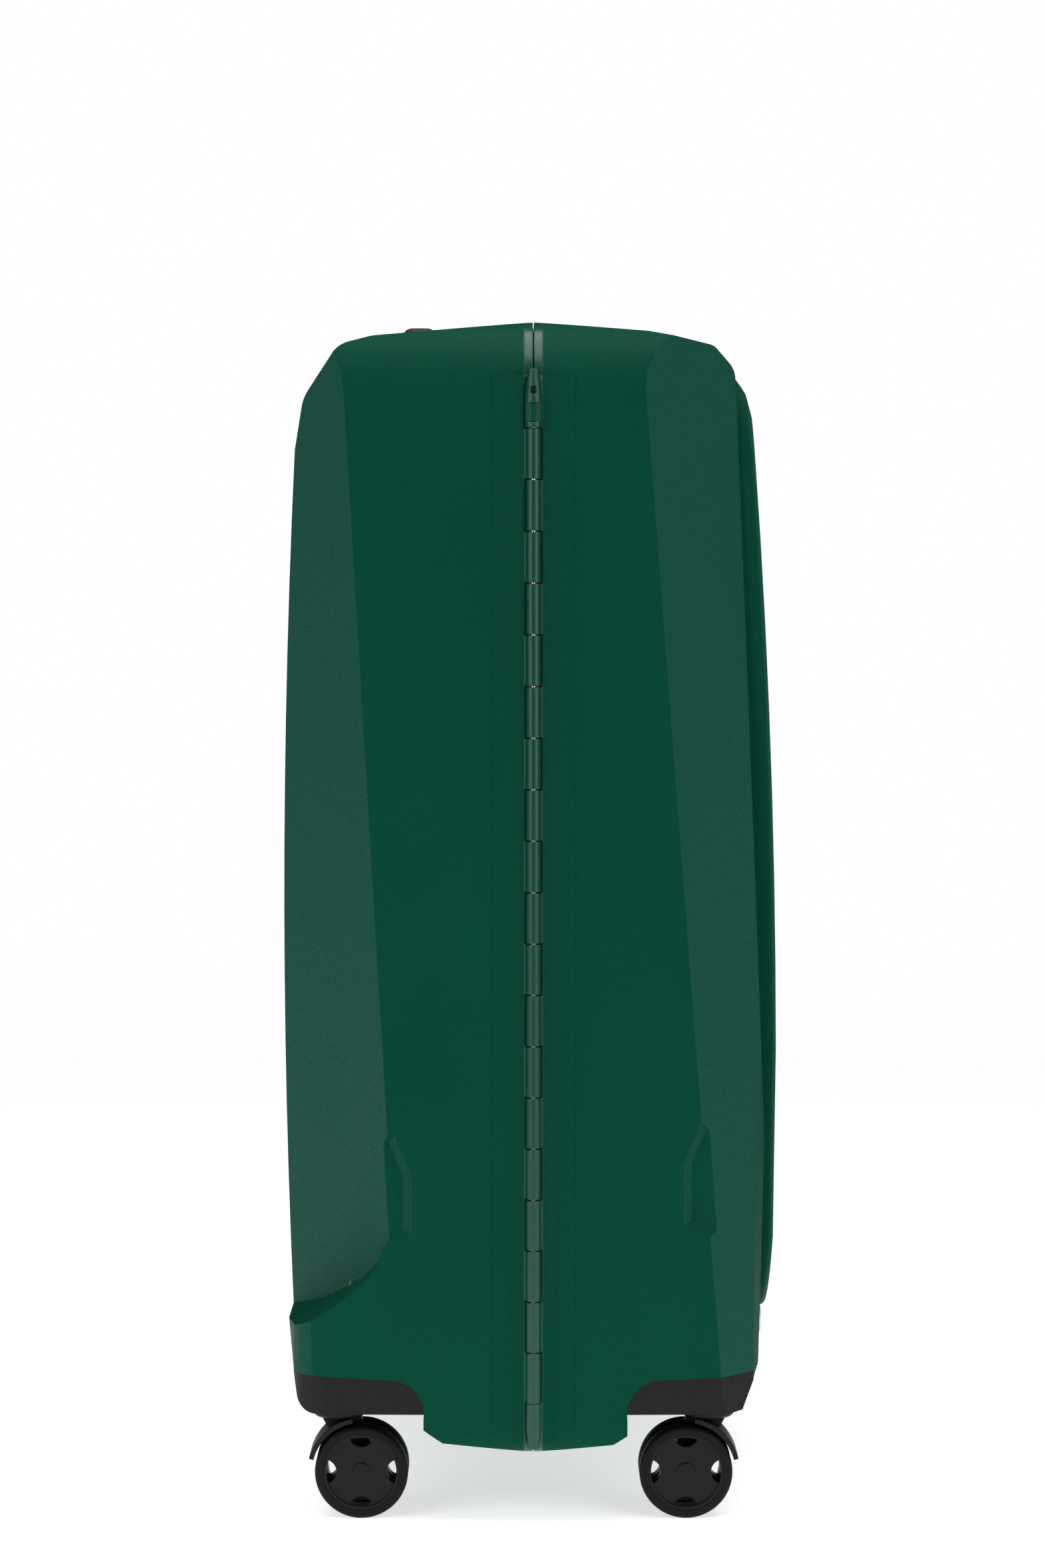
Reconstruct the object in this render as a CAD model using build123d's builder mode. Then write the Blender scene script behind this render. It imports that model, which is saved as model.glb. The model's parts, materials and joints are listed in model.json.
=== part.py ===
from build123d import *
import math
import os

# Hard shell spinner suitcase, standing on its wheels. Millimetres.
# +Z up, X across the width (hinge on -X, latches on +X), Y through the depth
# (back half with the trolley handle towards +Y, front half towards -Y).
# Profiles are drawn as (distance from the parting plane, height) and (width, height).

# ---- overall sizes
PARTING_Y = -1.5
SIDE_X = 235.5
BASE_Z = 41.5
TOP_Z = 690.5
WALL = 3.0
RIM_WALL = 6.5
RIM_DEPTH = 10.0
PARTING_GAP = 0.3
TOP_RADIUS = 40.0
LOW_RADIUS = 15.0
PLAN_RADIUS = 21.0
FIT_GAP = 0.35
EXTRA = 10.0

# ---- side bevels: the crease on the side panel and where the bevel runs out
CREASE_TOP_Z = 644.0
CREASE_LOW_Z = 227.0
BACK_CREASE = (105.5, 82.0)
BACK_BEVEL_END = (145.0, 146.0, 290.0)
FRONT_CREASE = (62.4, 94.0)
FRONT_BEVEL_END = (195.0, 125.0, 430.0)

# ---- hinge along the -X side
HINGE_X = -240.0
HINGE_LOW_Z = 73.1
HINGE_HIGH_Z = 628.9
KNUCKLES = 19
KNUCKLE_PITCH = (HINGE_HIGH_Z - HINGE_LOW_Z) / KNUCKLES
KNUCKLE_RADIUS = 4.4
KNUCKLE_GAP = 0.6
PIN_RADIUS = 1.5
PIN_CLEARANCE = 0.05
BOSS_RADIUS = 5.0
BOSS_TIP_Z = 662.0
TAIL_TIP_Z = 47.0
TURN_GAP = 0.6
PLUG_Z = 637.4
PIN_LOW_Z = 50.0
PIN_HIGH_Z = 631.0

# ---- pressed pocket low on each side panel
POCKET_DEPTH = 6.0
POCKET_TAPER = 50

# ---- wheel corners and casters
BAY_INNER_X = 150.0
HOUSING_LOW_Z = 65.0
BAY_TOP_Z = 87.5
BACK_BAY_D = 63.0
FRONT_BAY_D = 54.0
WHEEL_RADIUS = 27.0
TREAD_DEPTH = 5.0
DISC_WIDTH = 12.4
DISC_GAP = 0.6
FORK_WEB = 6.0
FORK_TOP_Z = 64.4
CROWN_RADIUS = 15.0
CROWN_HEIGHT = 6.6
FENDER_FROM = 14
FENDER_TO = 80
FENDER_HALF = 14.5
SWIVEL_X = 196.0
BACK_AXLE_D = 99.5
FRONT_AXLE_D = 88.5
TRAIL = 13.0
AXLE_RADIUS = 2.5
STEM_RADIUS = 5.0
STEM_DEPTH = 17.0
SCREW_RADIUS = 1.8
SCREW_HEAD_RADIUS = 3.4
SCREW_HEAD_HEIGHT = 1.8
SCREW_LENGTH = 14.0
RIM_RADIUS = WHEEL_RADIUS - TREAD_DEPTH
MOON_RADIUS = 7.2
MOON_CENTRE = 21.7
CAP_RECESS = 2.0

# ---- trolley handle
TROLLEY_D = 68.0
TUBE_X = 75.0
TUBE_LOW_Z = 92.0
TUBE_HIGH_Z = 664.0
TUBE_WIDTH = 24.0
TUBE_DEPTH = 14.0
TUBE_WALL = 1.2
TUBE_STEP = 3.0
GRIP_LOW_Z = 676.0
GRIP_TOP_Z = 693.5
GRIP_LENGTH = 184.0
GRIP_WIDTH = 20.0
BEZEL_SEAT_Z = 684.0
BEZEL_TOP_Z = 688.0
BUTTON_LENGTH = 36.0
BUTTON_WIDTH = 11.0
BUTTON_TOP_Z = 695.0
BUTTON_LOW_Z = 688.0

# ---- carry handles
CUP_LENGTH = 144.0
CUP_WIDTH = 28.0
CUP_DEPTH = 26.0
TOP_CUP_D = 27.0
TOP_SEAT_Z = 685.0
SIDE_CUP_D = 58.0
SIDE_SEAT_X = 234.0
MIDDLE_Z = 366.0

# ---- latches and lock on the +X side
LATCH_HEIGHTS = {"upper": 566.0, "centre": MIDDLE_Z, "lower": 166.0}
LATCH_PIN_X = 241.0
LATCH_PIN_D = 22.0
LEVER_OUT_X = 245.0
LEVER_HALF = 17.0
KEEPER_HALF = 19.0
DIAL_RADIUS = 4.4
DIAL_X = 240.4
DIAL_D = 22.0
DIAL_PITCH = 8.0
DIAL_WIDTH = 5.0

KEEPER_TOP_X = 239.8
HOOK_TIP_X = 237.8
LATCH_BOSS_RADIUS = 2.8
LATCH_EAR_OUT = 21.0
LOCK_HALF = 46.0
LOCK_TOP_X = 244.0
DIAL_AXLE_RADIUS = 1.0
KEY_OFFSET = 31.0
KEY_RADIUS = 4.0
BUTTON_FLOOR_X = 236.3

# ---- closure seal, soft furnishings and small parts
SEAL_OUTER = 2.3
SEAL_INNER = 4.6
SEAL_DEPTH = 3.2
LINING_GAP = 0.4
LINING_THICKNESS = 1.2
LINING_CUTS = [((-110, 110), (4, 92), (655, 700)), ((195, 240), (38, 78), (MIDDLE_Z - 82, MIDDLE_Z + 82)),
               ((-96, -54), (54, 82), (40, 100)), ((54, 96), (54, 82), (40, 100))]
STRAP_HEIGHTS = (240.0, 420.0)
STRAP_D = 134.0
DIVIDER_D = 101.0
BADGE_Z = 87.0
BADGE_PAD_D = 138.6
BADGE_LENGTH = 96.0
BADGE_WIDTH = 18.0
PLUG_SIZE = (5.6, 11.0)
PLUG_HEIGHT = 2.0
FOOT_LOW_Z = 66.0
FOOT_HEIGHT = 34.0

os.makedirs("parts", exist_ok=True)

# (name, side) of the two halves: +1 is the back half, -1 the front half
HALVES = {"back": 1, "front": -1}


def side_view(side, x=0.0):
    """Plane whose local x is the distance from the parting plane and local y is the height."""
    return Plane(origin=(x, PARTING_Y, 0), x_dir=(0, side, 0), z_dir=(side, 0, 0))


def outline_view(side, distance=0.0):
    """Plane whose local y is the height, and whose normal runs away from the parting plane."""
    return Plane(origin=(0, PARTING_Y + side * distance, 0), x_dir=(-side, 0, 0), z_dir=(0, side, 0))


def at(side, x, distance, z):
    """Point in the row frame for a distance from the parting plane."""
    return (x, PARTING_Y + side * distance, z)


def save(name, part):
    part.label = name
    export_step(part, "parts/" + name + ".step")


# Section of each half as (distance from the parting plane, height): down to the face,
# a middle point of the face's arc, and on round the underside. PANEL_ is the raised front panel.
BACK_PROFILE = [(-EXTRA, 691.3), (92, 682), (110.5, 677), (132.5, 647.5), (137.9, 618)]
BACK_FACE_MID = (146.8, 300)
BACK_LOWER = [(142.6, 112), (134.8, 66), (100, 63), (63, 56), (52, 48), (-EXTRA, 40.6)]
FRONT_PROFILE = [(-EXTRA, 691.3), (66, 684.8), (104, 677.5), (116.5, 664), (118.5, 620)]
FRONT_FACE_MID = (126.8, 411)
FRONT_LOWER = [(134.2, 215), (130.5, 90), (120.5, 66), (92, 62), (56, 54), (46, 47), (-EXTRA, 40.6)]
PANEL_FACE = [(126.8, 636), (138.0, 444), (141.5, 270)]
PANEL_TOP = [(100, 661.5), (118, 660.5), (123.4, 650.5)]
PANEL_LOW = [(140.1, 160), (137, 113.5), (100, 113.5)]
CORNER_RADII = {1: (16, 22, 11), -1: (8, 14, 6)}


def profile_sketch(side):
    """Depth and height section of one half, closed past the parting plane."""
    upper, middle, lower = (BACK_PROFILE, BACK_FACE_MID, BACK_LOWER) if side > 0 else (
        FRONT_PROFILE, FRONT_FACE_MID, FRONT_LOWER)
    with BuildSketch() as section:
        with BuildLine():
            Polyline(*upper)
            ThreePointArc(upper[-1], middle, lower[0])
            Polyline(*lower)
            Line(lower[-1], upper[0])
        make_face()
        for corner, radius in zip((upper[2], upper[3], lower[1]), CORNER_RADII[side]):
            fillet(section.vertices().sort_by_distance(corner)[0], radius)
    return section.sketch


def panel_volume(inset):
    """Raised central panel of the front half, with its own crowned face."""
    with BuildSketch() as section:
        with BuildLine():
            Polyline(*PANEL_TOP, PANEL_FACE[0])
            ThreePointArc(*PANEL_FACE)
            Polyline(PANEL_FACE[-1], *PANEL_LOW, PANEL_TOP[0])
        make_face()
        if inset:
            offset(amount=-inset, kind=Kind.INTERSECTION, mode=Mode.REPLACE)
    with BuildPart() as panel:
        with BuildSketch(side_view(-1)):
            add(section.sketch)
        extrude(amount=SIDE_X, both=True)
        with BuildSketch(outline_view(-1)):
            with Locations((0, (PANEL_TOP[0][1] + PANEL_LOW[-1][1]) / 2)):
                height = PANEL_TOP[0][1] - PANEL_LOW[-1][1] - 2 * inset
                RectangleRounded(372 - 2 * inset, height, 44 - inset)
        extrude(amount=2 * BACK_FACE_MID[0], mode=Mode.INTERSECT)
        if not inset:
            fillet(panel.faces().sort_by(Axis.Y)[0].edges(), 3.5)
    return panel.part


def bevel_plane(side, inset):
    """Plane of the bevel on the -X side, facing outwards."""
    crease, end = (BACK_CREASE, BACK_BEVEL_END) if side > 0 else (FRONT_CREASE, FRONT_BEVEL_END)
    high = Vector(at(side, -SIDE_X, crease[0], CREASE_TOP_Z))
    low = Vector(at(side, -SIDE_X, crease[1], CREASE_LOW_Z))
    out = Vector(at(side, -end[0], end[1], end[2]))
    normal = (high - low).cross(out - low).normalized()
    if normal.X > 0:
        normal = normal * -1
    return Plane(origin=low - normal * inset, z_dir=normal)


def bevel_cutter(side, inset):
    """Everything outside the bevel; on the back half it stops at a curved lower edge."""
    grow = inset if side > 0 else 0
    with BuildPart() as cutter:
        with BuildSketch(side_view(side)):
            with BuildLine():
                if side > 0:
                    edge = [(75 - grow, 171.5 - grow), (81 - grow, 167 - grow), (86 - grow, 160 - grow)]
                    curve = [(90.5 - grow, 149.5 - grow), (101, 138 - 1.4 * grow),
                             (117, 125.5 - 1.2 * grow), (150, 110 - grow)]
                    Polyline((30, 760), (75 - grow, 700), *edge)
                    Spline(edge[-1], *curve, tangents=((0.3, -1), (1, -0.35)))
                    Polyline(curve[-1], (200, 110 - grow), (200, 760), (30, 760))
                else:
                    Polyline((30, 760), (30, 0), (200, 0), (200, 760), (30, 760))
            make_face()
        extrude(amount=SIDE_X + EXTRA, both=True)
        split(bisect_by=bevel_plane(side, inset), keep=Keep.TOP)
        mirror(about=Plane.YZ)
    return cutter.part


def bay_cutter(side, grow):
    """Room under the two lower corners, arched at its inner end, where the wheel housings go."""
    inner = (BACK_BAY_D if side > 0 else FRONT_BAY_D) - grow
    with BuildPart() as bay:
        for hand in (-1, 1):
            with BuildSketch(side_view(side, hand * (BAY_INNER_X - grow))):
                with BuildLine():
                    Line((inner, 0), (inner, 62 + grow))
                    ThreePointArc((inner, 62 + grow), (inner + 4.3, 77.5 + grow),
                                  (inner + 16.5, 84.5 + grow))
                    Polyline((inner + 16.5, 84.5 + grow), (190, 90 + grow), (190, 0), (inner, 0))
                make_face()
            extrude(amount=hand * side * 120)
    return bay.part


def outline_sketch(half_width, inset, trim=0.0):
    """Width and height outline, with large top corners and small lower ones."""
    with BuildSketch() as outline:
        with Locations((0, (BASE_Z + TOP_Z) / 2)):
            Rectangle(2 * (half_width - inset), TOP_Z - BASE_Z - 2 * inset - trim)
        fillet(outline.vertices().group_by(Axis.Y)[-1], TOP_RADIUS - inset)
        fillet(outline.vertices().group_by(Axis.Y)[0], LOW_RADIUS - inset)
    return outline.sketch


def plan_volume(side, inset):
    """Plan outline as a tall prism: it rounds the upright corners where no bevel cuts them."""
    face, corner = (147.5, 138.5) if side > 0 else (150.0, 127.5)
    wide = SIDE_X + 2 - inset
    turn = SIDE_X - 2.6 - inset
    with BuildPart() as prism:
        with BuildSketch(Plane(origin=(0, PARTING_Y, 0), x_dir=(1, 0, 0), z_dir=(0, 0, 1))):
            with BuildLine():
                Polyline((turn - PLAN_RADIUS, side * (corner - inset)), (150, side * (face - inset)),
                         (-150, side * (face - inset)), (PLAN_RADIUS - turn, side * (corner - inset)))
                for hand in (-1, 1):
                    ThreePointArc((hand * (turn - PLAN_RADIUS), side * (corner - inset)),
                                  (hand * (turn - 0.29 * PLAN_RADIUS),
                                   side * (corner - inset - 0.29 * PLAN_RADIUS)),
                                  (hand * turn, side * (corner - inset - PLAN_RADIUS)))
                    Line((hand * turn, side * (corner - inset - PLAN_RADIUS)), (hand * wide, -side * 4))
                Line((-wide, -side * 4), (wide, -side * 4))
            make_face()
        extrude(amount=TOP_Z + EXTRA)
    return prism.part


def half_volume(side, inset, start):
    """Solid volume of one half, moved in by inset, from start mm off the parting plane."""
    with BuildPart() as body:
        for distance, half_width in ((start, SIDE_X), (150, SIDE_X - 3.5)):
            with BuildSketch(outline_view(side, distance)):
                add(outline_sketch(half_width, inset))
        loft()
        add(plan_volume(side, inset), mode=Mode.INTERSECT)
        with BuildSketch(side_view(side)):
            add(profile_sketch(side))
            if inset:
                offset(amount=-inset, kind=Kind.INTERSECTION, mode=Mode.REPLACE)
        extrude(amount=SIDE_X + EXTRA, both=True, mode=Mode.INTERSECT)
        add(bevel_cutter(side, inset), mode=Mode.SUBTRACT)
        if side < 0:
            add(panel_volume(inset))
    return body.part


def hinge_flare(side):
    """Concave ramp that lifts the side panel to the hinge, wider at the top."""
    with BuildPart() as flare:
        for z, reach in ((TAIL_TIP_Z + 3, 11), (BOSS_TIP_Z - 4, 24)):
            with BuildSketch(Plane(origin=(HINGE_X, PARTING_Y, z), x_dir=(1, 0, 0), z_dir=(0, 0, 1))):
                with BuildLine():
                    Polyline((5, side * reach), (8, side * reach), (8, side * PARTING_GAP),
                             (0.3, side * PARTING_GAP), (0.3, side * 3.5))
                    ThreePointArc((0.3, side * 3.5), (2.9, side * (3.5 + 0.4 * (reach - 3.5))),
                                  (5, side * reach))
                make_face()
        loft()
    return flare.part


def boss_profile(grow):
    """Half section of the hinge's end bosses, which belong to the front half."""
    top = [(0, HINGE_HIGH_Z - grow), (BOSS_RADIUS + grow, HINGE_HIGH_Z - grow),
           (BOSS_RADIUS + grow, 645), (4.4 + grow, 653), (3 + grow, BOSS_TIP_Z), (0, BOSS_TIP_Z + grow)]
    tail = [(0, HINGE_LOW_Z + grow), (KNUCKLE_RADIUS + grow, HINGE_LOW_Z + grow),
            (KNUCKLE_RADIUS + grow, 58), (3.4 + grow, TAIL_TIP_Z), (0, TAIL_TIP_Z - grow)]
    return top, tail


def hinge_barrel(side, grow):
    """Knuckles of one half, and the end bosses on the front half."""
    with BuildPart() as barrel:
        for index in range(KNUCKLES):
            if (index % 2 == 0) == (side > 0):
                height = KNUCKLE_PITCH + (KNUCKLE_GAP if grow else -KNUCKLE_GAP)
                middle = HINGE_HIGH_Z - (index + 0.5) * KNUCKLE_PITCH
                with Locations((HINGE_X, PARTING_Y, middle)):
                    Cylinder(KNUCKLE_RADIUS + grow, height)
                    if not grow:
                        Box(7, 3.6, height, align=(Align.MIN, Align.MIN if side > 0 else Align.MAX,
                                                   Align.CENTER))
        if side < 0:
            step = KNUCKLE_GAP / 2 if not grow else -KNUCKLE_GAP / 2
            for profile in boss_profile(grow):
                plane = Plane(origin=(HINGE_X, PARTING_Y, 0), x_dir=(1, 0, 0), z_dir=(0, -1, 0))
                with BuildSketch(plane):
                    with BuildLine():
                        Polyline(*profile, profile[0])
                    make_face()
                revolve(axis=Axis((HINGE_X, PARTING_Y, 0), (0, 0, 1)))
            if not grow:
                for low, high in ((HINGE_HIGH_Z + step, 656), (52, HINGE_LOW_Z - step)):
                    with Locations((HINGE_X, PARTING_Y, (low + high) / 2)):
                        Box(7, 3.6, high - low, align=(Align.MIN, Align.MAX, Align.CENTER))
    return barrel.part


def block(side, xs, ds, zs):
    """Plain box given by its limits in width, distance from the parting plane and height."""
    with BuildPart() as part:
        with Locations(at(side, sum(xs) / 2, sum(ds) / 2, sum(zs) / 2)):
            Box(abs(xs[1] - xs[0]), ds[1] - ds[0], zs[1] - zs[0])
    return part.part


def pocket_limits(side):
    """Nearest and furthest distance from the parting plane, low and high edge of the side pocket."""
    return (74.7, 98, 171, 201) if side > 0 else (90.7, 112, 176.5, 208.5)


def pocket_cutter(side):
    """Soft pressed pocket low on each side panel, beside the crease."""
    near, far, low, high = pocket_limits(side)
    with BuildPart() as pocket:
        for hand in (-1, 1):
            with BuildSketch(side_view(side, hand * (SIDE_X - POCKET_DEPTH))):
                with BuildLine():
                    Polyline((near, low), (near, high), (near + 8, high + 20), (far, high + 20),
                             (far, low - 8), (near + 6, low - 4), (near, low))
                make_face()
            extrude(amount=hand * side * 8, taper=-POCKET_TAPER)
    return pocket.part


def cavity(side, inset, start):
    """Room inside one half: clear of the wheel bays and of the backs of the side pockets."""
    near, far, low, high = pocket_limits(side)
    grow = inset - WALL
    with BuildPart() as room:
        add(half_volume(side, inset, start))
        add(bay_cutter(side, inset), mode=Mode.SUBTRACT)
        for hand in (-1, 1):
            xs = (hand * (SIDE_X - POCKET_DEPTH - WALL - grow), hand * (SIDE_X + EXTRA))
            backing = block(side, xs, (near - 10 - grow, far + 8 + grow),
                            (low - 18 - grow, high + 26 + grow))
            add(backing, mode=Mode.SUBTRACT)
    return room.part


def rim_opening(side):
    """Straight opening through the thick rim, from past the parting plane into the cavity."""
    with BuildPart() as opening:
        with BuildSketch(outline_view(side, -1)):
            add(outline_sketch(SIDE_X, RIM_WALL, 2))
        extrude(amount=RIM_DEPTH + 1.5)
    return opening.part


def seal_ring(outer, inner, near, far):
    """Ring that follows the parting outline of the back half."""
    with BuildPart() as ring:
        with BuildSketch(outline_view(1, near)):
            add(outline_sketch(SIDE_X, outer, 2))
            add(outline_sketch(SIDE_X, inner, 2), mode=Mode.SUBTRACT)
        extrude(amount=far - near)
    return ring.part


def hollow_of(side):
    """Everything taken out of the inside of one half."""
    with BuildPart() as inside:
        add(cavity(side, WALL, RIM_DEPTH))
        add(rim_opening(side))
        if side > 0:
            for xs, ds, zs in BACK_PADS:
                add(block(side, xs, ds, zs), mode=Mode.SUBTRACT)
    return inside.part


def shell(side, whole):
    """One moulded half: thin walls, thick rim, its share of the hinge, bays and pockets."""
    with BuildPart() as part:
        add(whole)
        add(pocket_cutter(side), mode=Mode.SUBTRACT)
        add(bay_cutter(side, 0), mode=Mode.SUBTRACT)
        add(hinge_flare(side))
        add(hollow_of(side), mode=Mode.SUBTRACT)
        add(hinge_barrel(-side, TURN_GAP), mode=Mode.SUBTRACT)
        add(hinge_barrel(side, 0))
        with Locations((HINGE_X, PARTING_Y, (PIN_LOW_Z + PIN_HIGH_Z) / 2)):
            Cylinder(PIN_RADIUS + PIN_CLEARANCE, PIN_HIGH_Z - PIN_LOW_Z, mode=Mode.SUBTRACT)
    return part.part


def rounded_bar(plane, length, width, height, radius, start=0.0):
    """Bar with a rounded outline, standing on a plane."""
    with BuildPart() as bar:
        with BuildSketch(plane.offset(start)):
            RectangleRounded(length, width, radius)
        extrude(amount=height)
    return bar.part


def seat_cutter(plane, length, width, body_length, body_width):
    """Recess for a flange, with a through opening for the tray under it."""
    with BuildPart() as cutter:
        add(rounded_bar(plane, length + FIT_GAP, width + FIT_GAP, 12, 6))
        add(rounded_bar(plane, body_length + FIT_GAP, body_width + FIT_GAP, 20, 4, -15))
    return cutter.part


# ---- pieces let into the back half
TOP_CUP_PLANE = Plane(origin=at(1, 0, TOP_CUP_D, TOP_SEAT_Z), x_dir=(1, 0, 0), z_dir=(0, 0, 1))
SIDE_CUP_PLANE = Plane(origin=at(1, SIDE_SEAT_X, SIDE_CUP_D, MIDDLE_Z), x_dir=(0, 0, 1), z_dir=(1, 0, 0))
BEZEL_PLANE = Plane(origin=at(1, 0, TROLLEY_D, BEZEL_SEAT_Z), x_dir=(1, 0, 0), z_dir=(0, 0, 1))
BEZEL_FLANGE = (206.0, 34.0)
BEZEL_BODY = (196.0, 26.0)
CUP_BODY = (CUP_LENGTH - 8, CUP_WIDTH - 6)
BACK_PADS = [((-108, 108), (5, 90), (679, 700)), ((228, 240), (40, 76), (MIDDLE_Z - 80, MIDDLE_Z + 80))]


def handle_cup(plane):
    """Tray that holds a pull-out carry handle under its two end lips."""
    with BuildPart() as cup:
        add(rounded_bar(plane, CUP_LENGTH, CUP_WIDTH, 2.0, 6))
        add(rounded_bar(plane, *CUP_BODY, CUP_DEPTH, 4, -CUP_DEPTH))
        add(rounded_bar(plane, CUP_LENGTH - 12, CUP_WIDTH - 10, CUP_DEPTH - 5, 2, 2 - CUP_DEPTH),
            mode=Mode.SUBTRACT)
        add(rounded_bar(plane, CUP_LENGTH - 18, CUP_WIDTH - 10, 8, 3, -4), mode=Mode.SUBTRACT)
    return cup.part


def carry_handle(plane):
    """Bar with two legs whose lugs catch under the tray's lips when it is pulled out."""
    with BuildPart() as handle:
        add(rounded_bar(plane, CUP_LENGTH - 20, CUP_WIDTH - 12, 5.0, 6, -2))
        fillet(handle.faces().sort_by(Axis(plane.origin, plane.z_dir))[-1].edges(), 1.8)
        for hand in (-1, 1):
            leg = Plane(plane.from_local_coords((hand * (CUP_LENGTH / 2 - 17), 0, 0)),
                        x_dir=plane.x_dir, z_dir=plane.z_dir)
            add(rounded_bar(leg, 12, CUP_WIDTH - 13, CUP_DEPTH - 5, 1, 3.5 - CUP_DEPTH))
            lug = Plane(plane.from_local_coords((hand * (CUP_LENGTH / 2 - 11), 0, 0)),
                        x_dir=plane.x_dir, z_dir=plane.z_dir)
            add(rounded_bar(lug, 8, CUP_WIDTH - 13, 3.0, 1, 3.5 - CUP_DEPTH))
    return handle.part


def tube_stage(stage):
    """Width, depth, low and high end of one telescoping stage, 0 being the outer tube."""
    high = (TUBE_HIGH_Z, TUBE_HIGH_Z + 6, GRIP_LOW_Z)[stage]
    return TUBE_WIDTH - TUBE_STEP * stage, TUBE_DEPTH - TUBE_STEP * stage, TUBE_LOW_Z + 3 * stage, high


def tube(side_x, stage):
    """Flattened trolley tube, open at both ends."""
    width, depth, low, high = tube_stage(stage)
    radius = depth / 2 - 0.5
    with BuildPart() as part:
        with BuildSketch(Plane(at(1, side_x, TROLLEY_D, low))):
            RectangleRounded(width, depth, radius)
            RectangleRounded(width - 2 * TUBE_WALL, depth - 2 * TUBE_WALL, radius - TUBE_WALL,
                             mode=Mode.SUBTRACT)
        extrude(amount=high - low)
    return part.part


def trolley_bezel():
    """Tray in the top of the back half that frames the grip and holds the outer tubes."""
    pocket = (BEZEL_BODY[0] - 6, BEZEL_BODY[1] - 4)
    depth = BEZEL_SEAT_Z - TUBE_HIGH_Z
    with BuildPart() as bezel:
        add(rounded_bar(BEZEL_PLANE, *BEZEL_FLANGE, BEZEL_TOP_Z - BEZEL_SEAT_Z, 6))
        fillet(bezel.faces().sort_by(Axis.Z)[-1].edges(), 1.2)
        add(rounded_bar(BEZEL_PLANE, *BEZEL_BODY, depth, 4, -depth))
        add(rounded_bar(BEZEL_PLANE, *pocket, depth + 10, 5, 4 - depth), mode=Mode.SUBTRACT)
        with BuildSketch(Plane(at(1, 0, TROLLEY_D, TUBE_HIGH_Z))):
            with Locations((-TUBE_X, 0), (TUBE_X, 0)):
                width, tube_depth, _, _ = tube_stage(1)
                RectangleRounded(width + 0.8, tube_depth + 0.8, tube_depth / 2)
        extrude(amount=10, mode=Mode.SUBTRACT)
    return bezel.part


def trolley_grip():
    """Grip bar with soft edges and a window for the release button."""
    plane = Plane(at(1, 0, TROLLEY_D, GRIP_LOW_Z))
    with BuildPart() as grip:
        add(rounded_bar(plane, GRIP_LENGTH, GRIP_WIDTH, GRIP_TOP_Z - GRIP_LOW_Z, 8))
        fillet(grip.faces().sort_by(Axis.Z)[-1].edges(), 5)
        fillet(grip.faces().sort_by(Axis.Z)[0].edges(), 1.5)
        window = rounded_bar(Plane(at(1, 0, TROLLEY_D, BUTTON_LOW_Z - 2.8)), BUTTON_LENGTH + 2 * FIT_GAP,
                             BUTTON_WIDTH + 2 * FIT_GAP, 20, 5)
        add(window, mode=Mode.SUBTRACT)
    return grip.part


def trolley_button():
    with BuildPart() as button:
        add(rounded_bar(Plane(at(1, 0, TROLLEY_D, BUTTON_LOW_Z)), BUTTON_LENGTH, BUTTON_WIDTH,
                        BUTTON_TOP_Z - BUTTON_LOW_Z, 4.8))
        fillet(button.faces().sort_by(Axis.Z)[-1].edges(), 1.2)
    return button.part


def tube_feet():
    """Brackets that hold the lower ends of the outer tubes to the floor of the back half."""
    with BuildPart() as feet:
        for x in (-TUBE_X, TUBE_X):
            add(rounded_bar(Plane(at(1, x, TROLLEY_D, FOOT_LOW_Z)), 36, 22, FOOT_HEIGHT, 4))
            add(rounded_bar(Plane(at(1, x, TROLLEY_D, TUBE_LOW_Z)), TUBE_WIDTH, TUBE_DEPTH, FOOT_HEIGHT,
                            TUBE_DEPTH / 2 - 0.5), mode=Mode.SUBTRACT)
            add(rounded_bar(Plane(at(1, x, TROLLEY_D, FOOT_LOW_Z + 4)), 28, 14, TUBE_LOW_Z - FOOT_LOW_Z - 7,
                            3), mode=Mode.SUBTRACT)
    return feet.part


# ---- casters and their corner housings

def caster_places():
    """(name, side, hand) of the four wheel corners; left is the hinge side."""
    return [(half + "_" + edge, side, hand) for half, side in HALVES.items()
            for edge, hand in (("left", -1), ("right", 1))]


def axle_distance(side):
    return BACK_AXLE_D if side > 0 else FRONT_AXLE_D


def bay_inner(side):
    return BACK_BAY_D if side > 0 else FRONT_BAY_D


def screw_places(side, hand):
    """Where the two screws of one corner housing go, at its underside."""
    return [at(side, hand * (BAY_INNER_X + 12), bay_inner(side) + offset, HOUSING_LOW_Z)
            for offset in (14, 50)]


def housing_hollow(side, hand):
    """Room inside a corner housing, around its bearing boss and screw posts."""
    inner = bay_inner(side)
    swivel = at(side, hand * SWIVEL_X, axle_distance(side) + TRAIL, BAY_TOP_Z)
    with BuildPart() as hollow:
        add(block(side, (hand * (BAY_INNER_X + 4), hand * (SIDE_X - 8)), (inner + 4, inner + 60),
                  (HOUSING_LOW_Z + 4, BAY_TOP_Z + EXTRA)))
        with Locations(swivel):
            Cylinder(11, 60, mode=Mode.SUBTRACT)
        with Locations(*screw_places(side, hand)):
            Cylinder(4.5, 60, mode=Mode.SUBTRACT)
    return hollow.part


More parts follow.
